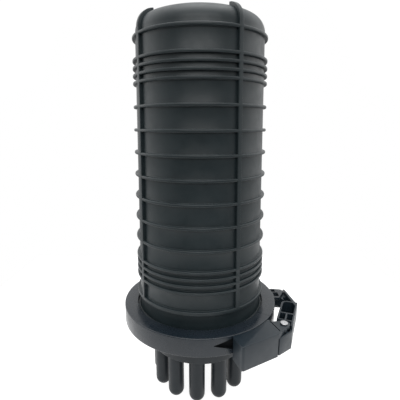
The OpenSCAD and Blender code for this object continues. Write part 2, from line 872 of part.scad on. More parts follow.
// Pan-head screw along -Z with its head's underside at a height
module screw_down(p, z, len) {
    bore(p, screw_r - thread_gap, z - len, z + thread_gap);
    bore(p, screw_r + head_out, z, z + head_h);
}

// Screws that hold the bracket's foot on the pillar
module bracket_screws() {
    color([0.75, 0.75, 0.75])
        for (p = FOOT_SCREWS) screw_down(p, inside_z + bracket_t, screw_depth);
}

// Tray holder: stepped comb on the bracket with a pair of hinge lugs for each tray
module tray_holder() {
    color([0.85, 0.85, 0.82])
    difference() {
        union() {
            translate([-bracket_w / 2, tray_y + seat_gap, holder_z])
                cube([bracket_w, holder_t - bracket_t, holder_h]);
            for (x = [-bracket_w / 2, bracket_w / 2 - holder_cheek])
                translate([x, 0, 0]) rotate([90, 0, 90]) linear_extrude(holder_cheek) holder_steps();
        }
        for (i = [0:tray_count - 1]) hinge_bore(i, pin_r + pin_gap);
        for (p = HOLDER_SCREWS) cross_bore(p, tray_y, holder_t, screw_r - thread_gap + pin_gap);
    }
}

// Side cheek of the holder: level at the trays and cut back below to the bracket
module holder_steps() {
    y0 = tray_y + seat_gap + over;
    y1 = tray_y - tray_count * tray_pitch + tray_gap;
    top = tray_z - seat_gap - over;
    polygon([[y0, holder_z], [y0, top], [y1, top], [y1, top - 2 * tongue_l], [y0 - tray_pitch, holder_z]]);
}

// Hinge axis of a tray along X
module hinge_bore(i, r) {
    translate([-bracket_w / 2 - over, tray_y - (i + 0.5) * tray_pitch, tray_z - tongue_l / 2 - over / 2])
        rotate([0, 90, 0]) cylinder(r = r, h = bracket_w + 2 * over, $fn = 32);
}

// Splice tray: shallow box open to the front, with two fibre drums and a hinge tongue
module splice_tray(i) {
    y1 = tray_y - i * tray_pitch;
    color([0.93, 0.93, 0.9])
    difference() {
        union() {
            translate([-tray_w / 2, y1 - tray_d, tray_z]) cube([tray_w, tray_d, tray_l]);
            translate([-tongue_w / 2, y1 - tray_d + over, tray_z - tongue_l])
                cube([tongue_w, tray_d - 2 * over, tongue_l + over]);
        }
        translate([-tray_w / 2 + tray_t, y1 - tray_d - over, tray_z + tray_t]) difference() {
            cube([tray_w - 2 * tray_t, tray_d - tray_t + over, tray_l - 2 * tray_t]);
            for (z = [drum_end, tray_l - 2 * tray_t - drum_end])
                translate([tray_w / 2 - tray_t, -over, z]) rotate([-90, 0, 0]) difference() {
                    cylinder(r = drum_r, h = tray_d + 2 * over, $fn = 64);
                    translate([0, 0, -over])
                        cylinder(r = drum_r - tray_t, h = tray_d - tray_t + 3 * over, $fn = 64);
                }
        }
        hinge_bore(i, pin_r + pin_gap);
    }
}
module splice_tray_1() { splice_tray(0); }
module splice_tray_2() { splice_tray(1); }
module splice_tray_3() { splice_tray(2); }
module splice_tray_4() { splice_tray(3); }

// Hinge pins of the trays
module tray_hinge_pins() {
    color([0.7, 0.7, 0.7])
        for (i = [0:tray_count - 1])
            intersection() {
                hinge_bore(i, pin_r);
                translate([seat_gap - bracket_w / 2, -tray_w, tray_z - tray_l])
                    cube([bracket_w - 2 * seat_gap, 2 * tray_w, 2 * tray_l]);
            }
}

// Clear cover over the front tray
module tray_cover() {
    color([0.8, 0.85, 0.88, 0.6])
        translate([-tray_w / 2, front_y - cover_t, tray_z])
        cube([tray_w, cover_t, tray_l]);
}

// Splice holders: one grooved block in each tray
module splice_holders() {
    color([0.25, 0.4, 0.6])
        for (i = [0:tray_count - 1])
            translate([
                -splice_w / 2, tray_y - i * tray_pitch - tray_t - splice_d - thread_gap,
                tray_z + (tray_l - splice_l) / 2
            ])
            difference() {
                cube([splice_w, splice_d, splice_l]);
                for (k = [0:grooves - 1])
                    translate([
                        (splice_w - groove_w) / 2 + groove_pitch * (k - (grooves - 1) / 2), -over, -over
                    ])
                    cube([groove_w, groove_depth + over, splice_l + 2 * over]);
            }
}

// Strap round the trays and the bracket
module tray_strap() {
    w = tray_w + 2 * seat_gap;
    y0 = front_y - cover_t - seat_gap;
    d = bracket_y + seat_gap - y0;
    color([0.12, 0.12, 0.12])
        translate([-w / 2, y0, strap_z])
        difference() {
            translate([-strap_t, -strap_t, 0]) cube([w + 2 * strap_t, d + 2 * strap_t, strap_w]);
            translate([0, 0, -over]) cube([w, d, strap_w + 2 * over]);
        }
}

// Basket behind the bracket for spare loose tubes, open at the top
module tube_basket() {
    y0 = bracket_y;
    color([0.85, 0.85, 0.82])
    difference() {
        translate([-basket_w / 2, y0, basket_z]) cube([basket_w, basket_d, basket_l]);
        translate([-basket_w / 2 + basket_t, y0 + basket_t, basket_z + basket_t])
            cube([basket_w - 2 * basket_t, basket_d - 2 * basket_t, basket_l]);
        for (k = [0:window_rows - 1], x = [-1, 0, 1])
            translate([
                x * window_pitch - window_w / 2, y0 + basket_d - basket_t - over,
                basket_z + basket_l / 2 + (k - (window_rows - 1) / 2) * window_pitch - window_w / 2
            ])
            cube([window_w, basket_t + 2 * over, window_w]);
        for (p = BASKET_SCREWS) cross_bore(p, y0 - over, basket_t + 2 * over, screw_r + seat_gap);
    }
}

// Screws of the tray holder and of the basket, along Y
module holder_screws() {
    color([0.75, 0.75, 0.75])
        for (p = HOLDER_SCREWS) cross_screw(p, bracket_y, -1, holder_t - thread_gap);
}
module basket_screws() {
    color([0.75, 0.75, 0.75])
        for (p = BASKET_SCREWS) cross_screw(p, bracket_y - bracket_t, 1, bracket_t + basket_t + over);
}
module cross_screw(p, y, side, len) {
    translate([p[0], y, p[1]]) rotate([-90 * side, 0, 0]) {
        cylinder(r = screw_r - thread_gap, h = len, $fn = 24);
        translate([0, 0, -head_h]) cylinder(r = screw_r + head_out, h = head_h, $fn = 24);
    }
}

// Clamps for the cables' strength members on the bracket's foot
module cable_clamps() {
    color([0.6, 0.62, 0.64])
        for (p = CLAMPS)
            translate([p[0], p[1] - clamp_d / 2, inside_z + bracket_t]) difference() {
                translate([-clamp_w / 2, 0, 0]) cube([clamp_w, clamp_d, clamp_h]);
                cross_bore([0, clamp_bore_z], -over, clamp_d + 2 * over, clamp_bore_r);
                translate([0, clamp_d / 2, clamp_bore_z])
                    cylinder(r = clamp_screw_r + pin_gap, h = clamp_h, $fn = 24);
            }
}
module clamp_screws() {
    clamp_top = inside_z + bracket_t + clamp_h;
    color([0.75, 0.75, 0.75])
        for (p = CLAMPS) {
            bore(p, clamp_screw_r, clamp_top - clamp_h + clamp_bore_z + clamp_bore_r, clamp_top + thread_gap);
            bore(p, clamp_screw_r + head_out, clamp_top, clamp_top + head_h);
        }
}

dome();
base();
flange_seal();
hoop_front();
hoop_rear();
hoop_hinge_pin();
latch_lever();
latch_link();
lever_pin();
latch_bar();
link_pin();
tray_bracket();
bracket_screws();
tray_holder();
holder_screws();
splice_tray_1();
splice_tray_2();
splice_tray_3();
splice_tray_4();
tray_hinge_pins();
tray_cover();
splice_holders();
tray_strap();
tube_basket();
basket_screws();
cable_clamps();
clamp_screws();
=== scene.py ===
# Looks of a dome splice closure: the ribbed dome over its base with closed ports,
# the clamp hoop round their flanges and the latch that closes the hoop.
import math

import bpy
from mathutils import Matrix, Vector


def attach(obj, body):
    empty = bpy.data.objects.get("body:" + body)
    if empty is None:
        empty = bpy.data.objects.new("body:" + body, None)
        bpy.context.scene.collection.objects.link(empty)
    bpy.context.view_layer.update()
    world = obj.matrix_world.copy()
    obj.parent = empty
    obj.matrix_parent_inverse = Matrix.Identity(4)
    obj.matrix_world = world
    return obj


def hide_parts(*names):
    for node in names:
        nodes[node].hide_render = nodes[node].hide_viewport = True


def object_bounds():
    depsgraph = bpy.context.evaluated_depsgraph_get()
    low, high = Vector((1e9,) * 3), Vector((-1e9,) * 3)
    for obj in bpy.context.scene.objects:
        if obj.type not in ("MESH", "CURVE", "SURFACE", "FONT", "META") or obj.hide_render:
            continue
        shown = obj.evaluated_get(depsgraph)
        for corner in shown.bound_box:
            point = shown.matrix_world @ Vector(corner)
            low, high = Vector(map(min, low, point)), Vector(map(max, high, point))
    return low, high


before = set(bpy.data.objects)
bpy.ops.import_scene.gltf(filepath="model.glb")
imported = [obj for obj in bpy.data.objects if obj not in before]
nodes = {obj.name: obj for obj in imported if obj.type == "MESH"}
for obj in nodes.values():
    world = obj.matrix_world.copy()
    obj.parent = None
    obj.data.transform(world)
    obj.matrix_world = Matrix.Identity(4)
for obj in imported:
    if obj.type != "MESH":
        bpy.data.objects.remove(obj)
cadLow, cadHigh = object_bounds()
mm = 0.001
merge = {"spin": 0.002, "outline": 0.01, "finish": 0.003}  # points this close become one, in mm
aligned = 0.9  # a direction with this much along an axis counts as lying along it
sealHeight = max(corner[2] for corner in nodes["flange_seal"].bound_box) / mm
print("frame loaded, seal plane at", round(sealHeight, 2), "mm")


# hand moves used on every piece
def deselectAll():
    for thing in list(bpy.context.selected_objects):
        thing.select_set(False)


def makeActive(piece):
    deselectAll()
    piece.select_set(True)
    bpy.context.view_layer.objects.active = piece


def selectEdges(piece, test):
    # selects the edges whose middle and direction pass the test, then returns to edit mode
    bpy.ops.object.mode_set(mode="EDIT")
    bpy.ops.mesh.select_mode(type="EDGE")
    bpy.ops.mesh.select_all(action="DESELECT")
    bpy.ops.object.mode_set(mode="OBJECT")
    points = piece.data.vertices
    for edge in piece.data.edges:
        a, b = (points[i].co for i in edge.vertices)
        edge.select = test((a + b) / 2, (b - a).normalized())
    bpy.ops.object.mode_set(mode="EDIT")


def traceLine(name, points):
    # a plane merged to one vertex, then extruded from point to point
    deselectAll()
    bpy.ops.mesh.primitive_plane_add(size=mm)
    piece = bpy.context.object
    piece.name = name
    bpy.ops.object.mode_set(mode="EDIT")
    bpy.ops.mesh.select_mode(type="VERT")
    bpy.ops.mesh.merge(type="CENTER")
    bpy.ops.transform.translate(value=points[0])
    for before, after in zip(points, points[1:]):
        step = [b - a for a, b in zip(before, after)]
        bpy.ops.mesh.extrude_vertices_move(TRANSFORM_OT_translate={"value": step})
    return piece


def spinProfile(name, profile, steps, start=0.0, sweep=360.0):
    # profile points are (radius, height) in millimetres, closed on themselves or ending on the axis
    first = math.radians(start - 90)  # angles count from the front
    line = [(r * mm * math.cos(first), r * mm * math.sin(first), z * mm) for r, z in profile]
    piece = traceLine(name, line)
    bpy.ops.mesh.select_all(action="SELECT")
    bpy.ops.mesh.spin(steps=steps, angle=-math.radians(sweep), center=(0, 0, 0), axis=(0, 0, 1))
    bpy.ops.mesh.select_all(action="SELECT")
    bpy.ops.mesh.remove_doubles(threshold=merge["spin"] * mm)
    if sweep < 360:
        bpy.ops.mesh.fill_holes(sides=0)  # closes the two ends of the arc
    bpy.ops.mesh.normals_make_consistent(inside=False)
    bpy.ops.object.mode_set(mode="OBJECT")
    return piece


def smooth(piece, angle=32):
    makeActive(piece)
    bpy.ops.object.shade_smooth_by_angle(angle=math.radians(angle))


def applyAll(piece):
    makeActive(piece)
    for m in list(piece.modifiers):
        bpy.ops.object.modifier_apply(modifier=m.name)


def cutOrJoin(piece, tool, how):
    mod = piece.modifiers.new("boolean", "BOOLEAN")
    mod.operation = how
    mod.solver = "MANIFOLD"
    mod.object = tool
    applyAll(piece)
    bpy.data.objects.remove(tool)


def finishPiece(piece, material, body, slotName, *replaced):
    # cleans the mesh, dresses it and tells the frame what it rides on and stands for
    makeActive(piece)
    bpy.ops.object.mode_set(mode="EDIT")
    bpy.ops.mesh.select_all(action="SELECT")
    bpy.ops.mesh.remove_doubles(threshold=merge["finish"] * mm)
    bpy.ops.mesh.dissolve_degenerate(threshold=merge["finish"] * mm)
    bpy.ops.object.mode_set(mode="OBJECT")
    smooth(piece)
    piece.data.materials.clear()
    piece.data.materials.append(material)
    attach(piece, body)
    if replaced:
        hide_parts(*replaced)
    print(piece.name, "modelled with", len(piece.data.polygons), "faces")


def arcPoints(cx, cz, r, a0, a1, count):
    return [(cx + r * math.cos(math.radians(a0 + (a1 - a0) * i / count)),
             cz + r * math.sin(math.radians(a0 + (a1 - a0) * i / count))) for i in range(count + 1)]


def fillAndExtrude(piece, step):
    # closes a traced outline with one face and gives it its thickness
    bpy.ops.mesh.select_all(action="SELECT")
    bpy.ops.mesh.remove_doubles(threshold=merge["outline"] * mm)
    bpy.ops.mesh.select_all(action="SELECT")
    bpy.ops.mesh.edge_face_add()
    bpy.ops.mesh.extrude_region_move(TRANSFORM_OT_translate={"value": step})
    bpy.ops.mesh.select_all(action="SELECT")
    bpy.ops.mesh.normals_make_consistent(inside=False)
    bpy.ops.object.mode_set(mode="OBJECT")
    return piece


def bevelEdges(piece, width, segments=2, limit=50):
    bevel = piece.modifiers.new("edges", "BEVEL")
    bevel.width = width * mm
    bevel.segments = segments
    bevel.limit_method = "ANGLE"
    bevel.angle_limit = math.radians(limit)
    applyAll(piece)
    return piece


def turnToPlace(piece, angle, place=(0, 0)):
    piece.rotation_euler = (0, 0, math.radians(angle))
    piece.location = (place[0] * mm, place[1] * mm, 0)
    makeActive(piece)
    bpy.ops.object.transform_apply(location=True, rotation=True, scale=True)
    return piece


# materials: a base shader with cloudy colour, uneven gloss and a fine relief
def newMaterial(name, roughness, specular=0.5, metallic=0.0):
    material = bpy.data.materials.new(name)
    material.use_nodes = True
    tree = material.node_tree
    shader = tree.nodes["Principled BSDF"]
    shader.inputs["Roughness"].default_value = roughness
    shader.inputs["Specular IOR Level"].default_value = specular
    shader.inputs["Metallic"].default_value = metallic
    coords = tree.nodes.new("ShaderNodeTexCoord")
    return material, tree, shader, coords.outputs["Object"]


def noise(tree, source, scale, detail=4.0, stretch=(1, 1, 1)):
    mapping = tree.nodes.new("ShaderNodeMapping")
    mapping.inputs["Scale"].default_value = stretch
    tree.links.new(source, mapping.inputs["Vector"])
    texture = tree.nodes.new("ShaderNodeTexNoise")
    texture.inputs["Scale"].default_value = scale
    texture.inputs["Detail"].default_value = detail
    tree.links.new(mapping.outputs["Vector"], texture.inputs["Vector"])
    return texture.outputs["Fac"]


cloudStart, cloudEnd = 0.3, 0.7  # nearly all of a noise lies between these


def ramp(tree, value, dark, light):
    # colour from the dark tone to the light one
    node = tree.nodes.new("ShaderNodeValToRGB")
    stops = (cloudStart, dark), (cloudEnd, light)
    for element, (place, colour) in zip(node.color_ramp.elements, stops):
        element.position = place
        element.color = (*colour, 1)
    tree.links.new(value, node.inputs["Fac"])
    return node.outputs["Color"]


def spread(tree, value, low, high):
    # number from low to high
    node = tree.nodes.new("ShaderNodeMapRange")
    node.inputs["From Min"].default_value = cloudStart
    node.inputs["From Max"].default_value = cloudEnd
    node.inputs["To Min"].default_value = low
    node.inputs["To Max"].default_value = high
    tree.links.new(value, node.inputs["Value"])
    return node.outputs["Result"]


def bump(tree, shader, height, distance, strength):
    node = tree.nodes.new("ShaderNodeBump")
    node.inputs["Distance"].default_value = distance
    node.inputs["Strength"].default_value = strength
    tree.links.new(height, node.inputs["Height"])
    tree.links.new(node.outputs["Normal"], shader.inputs["Normal"])


mould = {
    "cloud": 24, "cloudStretch": (1, 1, 0.35), "rub": 90, "rubSpread": 0.06,
    "grain": 2600, "grainStrength": 0.4,
}
steel = {
    "marks": 700, "marksStretch": (1, 1, 6), "shine": 1.12, "smoother": 0.05, "rougher": 0.08,
    "relief": 0.01, "reliefStrength": 0.5,
}
acrylic = {
    "roughness": 0.12, "seeThrough": 0.85, "index": 1.49, "haze": 60, "hazeRough": (0.08, 0.18),
    "dark": (0.82, 0.88, 0.9), "light": (0.9, 0.94, 0.95),
}


def mouldedPlastic(name, dark, light, roughness, grain, specular=0.5):
    # cloudy tone, a fine texture from the mould and faint flow marks up the wall
    material, tree, shader, place = newMaterial(name, roughness, specular)
    cloud = noise(tree, place, mould["cloud"], detail=3, stretch=mould["cloudStretch"])
    tree.links.new(ramp(tree, cloud, dark, light), shader.inputs["Base Color"])
    rub, uneven = noise(tree, place, mould["rub"], detail=5), mould["rubSpread"]
    worn = spread(tree, rub, roughness - uneven, roughness + uneven)
    tree.links.new(worn, shader.inputs["Roughness"])
    texture = noise(tree, place, mould["grain"], detail=2)
    bump(tree, shader, texture, grain * mm, mould["grainStrength"])
    return material


def turnedSteel(name, colour, roughness):
    # bright metal with the fine marks that the lathe leaves round it
    material, tree, shader, place = newMaterial(name, roughness, metallic=1.0)
    marks = noise(tree, place, steel["marks"], detail=3, stretch=steel["marksStretch"])
    light = tuple(min(1, c * steel["shine"]) for c in colour)
    tree.links.new(ramp(tree, marks, colour, light), shader.inputs["Base Color"])
    worn = spread(tree, marks, roughness - steel["smoother"], roughness + steel["rougher"])
    tree.links.new(worn, shader.inputs["Roughness"])
    bump(tree, shader, marks, steel["relief"] * mm, steel["reliefStrength"])
    return material


def clearSheet(name):
    # clear plastic with a slight haze
    material, tree, shader, place = newMaterial(name, acrylic["roughness"])
    shader.inputs["Transmission Weight"].default_value = acrylic["seeThrough"]
    shader.inputs["IOR"].default_value = acrylic["index"]
    haze = noise(tree, place, acrylic["haze"])
    tint = ramp(tree, haze, acrylic["dark"], acrylic["light"])
    tree.links.new(tint, shader.inputs["Base Color"])
    tree.links.new(spread(tree, haze, *acrylic["hazeRough"]), shader.inputs["Roughness"])
    return material


# name, darkest and lightest tone, roughness, height of the grain in millimetres, specular level
domePlastic = mouldedPlastic(
    "domePlastic", (0.0085, 0.0148, 0.0172), (0.0125, 0.02, 0.023), 0.42, 0.035, 0.4)
hoopPlastic = mouldedPlastic(
    "hoopPlastic", (0.007, 0.0115, 0.0165), (0.01, 0.0152, 0.0212), 0.28, 0.006, 0.43)
latchPlastic = mouldedPlastic(
    "latchPlastic", (0.006, 0.012, 0.0175), (0.009, 0.016, 0.0225), 0.42, 0.03, 0.43)
portPlastic = mouldedPlastic(
    "portPlastic", (0.005, 0.0085, 0.0115), (0.0075, 0.012, 0.0155), 0.42, 0.04, 0.3)
# painted shade for the finger scoop's floor and sides: a darker and rougher plastic than the hoop's
scoopPaintedShade = mouldedPlastic(
    "scoopPaintedShade", (0.003, 0.004, 0.005), (0.005, 0.006, 0.007), 0.7, 0.05, 0.12)
sealRubber = mouldedPlastic("sealRubber", (0.012, 0.012, 0.012), (0.018, 0.018, 0.018), 0.7, 0.03)
trayPlastic = mouldedPlastic("trayPlastic", (0.72, 0.72, 0.68), (0.8, 0.8, 0.77), 0.35, 0.02)
holderPlastic = mouldedPlastic("holderPlastic", (0.04, 0.11, 0.3), (0.06, 0.14, 0.36), 0.4, 0.02)
strapWebbing = mouldedPlastic(
    "strapWebbing", (0.012, 0.012, 0.013), (0.024, 0.024, 0.025), 0.8, 0.2)
pinSteel = turnedSteel("pinSteel", (0.45, 0.455, 0.465), 0.32)
plateSteel = turnedSteel("plateSteel", (0.5, 0.51, 0.52), 0.38)
coverSheet = clearSheet("coverSheet")

finishOf = {
    "dome": domePlastic, "base": portPlastic, "flange_seal": sealRubber,
    "hoop_front": hoopPlastic, "hoop_rear": hoopPlastic, "hoop_hinge_pin": pinSteel,
    "latch_lever": latchPlastic, "latch_link": latchPlastic,
    "lever_pin": pinSteel, "latch_bar": pinSteel, "link_pin": pinSteel,
    "tray_bracket": plateSteel, "bracket_screws": pinSteel,
    "tray_holder": trayPlastic, "holder_screws": pinSteel,
    "splice_tray_1": trayPlastic, "splice_tray_2": trayPlastic,
    "splice_tray_3": trayPlastic, "splice_tray_4": trayPlastic,
    "tray_hinge_pins": pinSteel, "tray_cover": coverSheet, "splice_holders": holderPlastic,
    "tray_strap": strapWebbing, "tube_basket": trayPlastic, "basket_screws": pinSteel,
    "cable_clamps": plateSteel, "clamp_screws": pinSteel,
}
for name, node in nodes.items():
    node.data.materials.clear()
    node.data.materials.append(finishOf[name])
print("materials made")

# from here on sizes are in millimetres, and angles in degrees round from the front to the latch

# the dome: one revolved shell with ring ribs, then four upright ribs
dome = {
    "rimRadius": 82.4, "draft": 0.77, "wall": 3.0, "rimRise": 31.1,
    "shoulderRise": 6.0, "shoulder": 18.0, "crown": 200.0,
    "groupCount": 4, "groupPitch": 8.6, "groupGap": 25.5, "singleCount": 7, "singlePitch": 27.2,
    "ribOut": 3.8, "ribWidth": 3.6, "ribRound": 1.3, "ribFoot": 0.5,
    "rimWidth": 5.0, "rimRound": 1.0, "rimFoot": 1.2,
    "lipRadius": 87.0, "flangeRadius": 99.3, "flangeTop": 8.2, "flangeEdge": 5.59,
    "beadRadius": 85.6, "beadWidth": 1.9, "beadHeight": 1.6,
    "uprights": 4, "uprightWidth": 5.5, "uprightAngle": 32, "uprightReach": 16,
    "uprightRound": 0.7, "uprightLower": 0.05, "uprightSink": 1, "steps": 180,
}
rimHeight = sealHeight + dome["rimRise"]


def ribHeights():
    count, pitch, gap = dome["groupCount"], dome["groupPitch"], dome["groupGap"]
    low = [rimHeight + gap + pitch * i for i in range(count)]
    single = [low[-1] + gap + dome["singlePitch"] * i for i in range(dome["singleCount"])]
    high = [single[-1] + dome["singlePitch"] + pitch * i for i in range(count)]
    return low + single + high + [high[-1] + gap]


def wallRadius(height):
    return dome["rimRadius"] - (height - rimHeight) * math.tan(math.radians(dome["draft"]))


shoulderHeight = ribHeights()[-1] + dome["shoulderRise"]


def ribLine(height, width, roundness):
    # foot fillet, rounded nose, foot fillet, from below to above
    foot, wall = dome["ribFoot"], wallRadius(height)
    low, high, nose = height - width / 2, height + width / 2, wall + dome["ribOut"] - roundness
    return (arcPoints(wall + foot, low - foot, foot, 180, 90, count=3)
            + arcPoints(nose, low + roundness, roundness, -90, 0, count=5)
            + arcPoints(nose, high - roundness, roundness, 0, 90, count=5)
            + arcPoints(wall + foot, high + foot, foot, -90, -180, count=3))


def crownLine(grow, count):
    # shoulder and crown arcs of the outline, moved outwards by a distance
    wide = wallRadius(shoulderHeight) - dome["shoulder"]
    drop = math.sqrt((dome["crown"] - dome["shoulder"]) ** 2 - wide ** 2)
    turn = math.degrees(math.atan2(drop, wide))
    return (arcPoints(wide, shoulderHeight, dome["shoulder"] + grow, dome["draft"], turn, count)
            + arcPoints(0, shoulderHeight - drop, dome["crown"] + grow, turn, 90, count)[1:])


def domeProfile():
    wall, top = dome["wall"], sealHeight + dome["flangeTop"]
    bead, half = dome["beadRadius"], dome["beadWidth"] / 2
    line = [(wallRadius(sealHeight) - wall, sealHeight), (dome["flangeRadius"], sealHeight)]
    line += [(dome["flangeRadius"], sealHeight + dome["flangeEdge"]), (dome["lipRadius"], top)]
    line += [(bead, top), (bead, top + dome["beadHeight"] - half)]
    line += arcPoints(bead - half, top + dome["beadHeight"] - half, half, 0, 180, count=6)[1:]
    line += [(bead - 2 * half, top)]
    foot = dome["rimFoot"]
    line += arcPoints(wallRadius(top) + foot, top + foot, foot, -90, -180, count=4)
    line += ribLine(rimHeight, dome["rimWidth"], dome["rimRound"])
    for height in ribHeights():
        line += ribLine(height, dome["ribWidth"], dome["ribRound"])
    line += crownLine(0, count=12)
    line += list(reversed(crownLine(-wall, count=8)))
    return line + [line[0]]


def overShoulder(grow, count=10):
    # the shoulder's arc moved outwards, as far in as the upright ribs reach
    left = dome["shoulder"] - dome["uprightReach"]
    wide = wallRadius(shoulderHeight) - dome["shoulder"]
    turn = math.degrees(math.acos(left / (dome["shoulder"] + grow)))
    return arcPoints(wide, shoulderHeight, dome["shoulder"] + grow, dome["draft"], turn, count)


def uprightRib(name, angle):
    # side view of the rib in the XZ plane, given its width along Y, then rounded and turned
    foot, out = wallRadius(rimHeight), dome["ribOut"] - dome["uprightLower"]
    sink = dome["uprightSink"]
    inner = [(foot - sink, rimHeight)] + overShoulder(-sink)
    outer = [(foot + out, rimHeight)] + overShoulder(out)
    loop = inner + list(reversed(outer))
    half = dome["uprightWidth"] / 2 * mm
    rib = traceLine(name, [(x * mm, -half, z * mm) for x, z in loop + [loop[0]]])
    fillAndExtrude(rib, (0, 2 * half, 0))
    bevelEdges(rib, dome["uprightRound"], segments=3, limit=60)
    return turnToPlace(rib, angle - 90)


shell = spinProfile("domeShell", domeProfile(), dome["steps"])
for i in range(dome["uprights"]):
    angle = dome["uprightAngle"] + 360 * i / dome["uprights"]
    cutOrJoin(shell, uprightRib("uprightRib", angle), "UNION")
finishPiece(shell, domePlastic, "closure", "moulding_dark", "dome")

# sizes of the hoop, the latch and the lug, which share one plan
hoop = {
    "radius": 105.0, "wall": 5.3, "low": sealHeight - 12.1, "high": sealHeight + 12.1,
    "lipRadius": 87.0, "lip": 3.5, "slope": 2.614, "edge": 1.3, "lipEdge": 0.8,
    "split": 58, "hinge": -135, "gap": 0.11, "steps": 170, "reach": 0.6,
    "knuckle": 5.5, "knuckleGap": 0.4, "knuckleHeight": 8.067, "knuckleEdge": 0.4,
    "webLength": 9, "webEdge": 0.3, "pinRadius": 2.5, "rootSink": 1,
    "scoopStart": 8, "scoopEnd": 25, "scoopDepth": 3.9, "scoopRound": 2.0,
    "scoopPoint": sealHeight + 2.2, "scoopLow": sealHeight - 7.4, "scoopTop": sealHeight + 10.7,
    # the last four pick which faces of the finger scoop get the painted shade
    "darkIn": 0.6, "darkSlack": 0.5, "darkTurn": 9, "darkFacing": -0.3,
}
latch = {
    "wall": 2.4, "drop": 6.6, "ear": 4.2, "run": 0.4, "reach": 0.6, "inset": 1,
    "edge": 0.8, "tipRound": 4.0,
    "tip": (21, 24.5), "handleEnd": 52.6, "upperEar": 7.6, "lowerEar": 7.0, "earRoot": 10,
    "earTurns": (-70, -75), "earEdge": 0.5, "barWall": 1.4, "barEdge": 0.4, "bite": 0.3,
    "ribs": (0.28, 0.56), "ribDepth": 9, "noseRoom": 40,
    "groove": 1.3, "grooveDeep": 2.0, "grooveBack": 2.0, "grooveEnd": 0.9,
}
leverLow = hoop["low"] - latch["drop"]
earHigh = hoop["high"] - latch["wall"]
earLow = earHigh - latch["ear"]
lugTop = earLow - latch["run"]
lug = {
    "radius": 6.5, "half": 5.5, "root": 51.5,
    "eye": 5.9, "eyeSteps": 20, "front": 88, "rear": 101.6, "rearSpan": 1,
    "frontReach": 8, "rearReach": 6, "turns": (-48, 92), "lowFront": 96, "lowTurns": (-90, 92),
    "low": hoop["low"] - 2, "plate": 4.2, "web": 2.4, "webInset": 0.1, "edge": 0.4, "webEdge": 0.3,
    "cells": 2, "cellFirst": 2.3, "cellStep": 7, "cellGap": 1.4,
    "cellWidth": 7.2, "cellLength": 11.2, "cellTaper": 1.6, "cellShort": 4.6,
}
# the latch's two fixed pins: az is the place round the hoop, out is how far outside it
pivot = {"az": 56, "out": 20.2, "radius": 3.0, "crank": 10, "pastCentre": 8, "barRadius": 2.5}
linkEnd = {"az": 98, "out": 13, "radius": 2.5}
# corners of the latch in plan: degrees round from its pin, and millimetres further out
corner = {
    "seam": (-11.9, 7), "nose": (-1.7, 12), "stepIn": (-2.5, -15.8), "stepOut": (-8.5, 6.4),
    "rear": (-17.4, 17.2), "tail": (1.7, 10),
}
clear = 0.05  # room round each pin
past = 1.0  # how far a cutting tool runs past the face it cuts
cornerReach = 0.3  # an edge this close to a corner's place belongs to it


def at(angle, radius):
    a = math.radians(angle)
    return Vector((radius * math.sin(a), -radius * math.cos(a)))


def turned(v, angle):
    a = math.radians(angle)
    x, y = v[0], v[1]
    return Vector((x * math.cos(a) - y * math.sin(a), x * math.sin(a) + y * math.cos(a)))


def heading(v):
    return math.degrees(math.atan2(v[1], v[0]))


def fromPin(pin, turn, out):
    return at(pin["az"] + turn, hoop["radius"] + pin["out"] + out)


pivotPoint, linkPoint = fromPin(pivot, 0, 0), fromPin(linkEnd, 0, 0)
pull = heading(linkPoint - pivotPoint)  # the way that the link pulls
barPoint = pivotPoint + turned((pivot["crank"], 0), pull + 180 - pivot["pastCentre"])
hingePoint = at(hoop["hinge"], hoop["radius"] + hoop["knuckle"] + hoop["reach"] / 2)
leverTip = at(latch["tip"][0], hoop["radius"] + latch["tip"][1])
seam, noseCorner = fromPin(pivot, *corner["seam"]), fromPin(pivot, *corner["nose"])
stepIn, stepOut = fromPin(pivot, *corner["stepIn"]), fromPin(pivot, *corner["stepOut"])
rearCorner, linkTail = fromPin(linkEnd, *corner["rear"]), fromPin(linkEnd, *corner["tail"])
frontDir, noseDir = (seam - leverTip).normalized(), (noseCorner - seam).normalized()
sideDir, tailDir = (rearCorner - noseCorner).normalized(), (linkTail - rearCorner).normalized()
frontIn, noseIn, sideIn, tailIn = (turned(d, 90) for d in (frontDir, noseDir, sideDir, tailDir))


def circlePoints(middle, radius, count):
    return [Vector(middle) + turned((radius, 0), 360 * i / count) for i in range(count)]


def slab(name, outline, low, high, edge=0.0, segments=2):
    # flat plate from an outline in plan, its rims rounded
    points = [(x * mm, y * mm, low * mm) for x, y in outline]
    plate = fillAndExtrude(traceLine(name, points + [points[0]]), (0, 0, (high - low) * mm))
    return bevelEdges(plate, edge, segments) if edge else plate


def drum(name, middle, radius, low, high, count=48, edge=0.0):
    return slab(name, circlePoints(middle, radius, count), low, high, edge)


def roundCorner(piece, place, width, segments):
    # rounds the upright edge that stands at the given place
    def stands(middle, along):
        near = (Vector(middle[:2]) / mm - place).length < cornerReach
        return near and abs(along.z) > aligned
    makeActive(piece)
    selectEdges(piece, stands)
    bpy.ops.mesh.bevel(offset=width * mm, segments=segments, affect="EDGES")
    bpy.ops.object.mode_set(mode="OBJECT")


def strip(a, b, half):
    side = turned((b - a).normalized(), 90) * half
    return [a + side, b + side, b - side, a - side]


# the hoop: two arcs of one channel, the knuckles of its hinge and the lugs of the latch
def hoopProfile():
    high, low, out, lip = hoop["high"], hoop["low"], hoop["radius"], hoop["lipRadius"]
    edge, lipEdge, groove = hoop["edge"], hoop["lipEdge"], hoop["radius"] - hoop["wall"]
    line = arcPoints(out - edge, low + edge, edge, -90, 0, count=5)
    line += arcPoints(out - edge, high - edge, edge, 0, 90, count=5)
    line += arcPoints(lip + lipEdge, high - lipEdge, lipEdge, 90, 180, count=3)
    line += [(lip, high - hoop["lip"]), (groove, high - hoop["lip"] - hoop["slope"])]
    line += [(groove, low + hoop["lip"] + hoop["slope"]), (lip, low + hoop["lip"])]
    line += arcPoints(lip + lipEdge, low + lipEdge, lipEdge, 180, 270, count=3)
    return line + [line[0]]


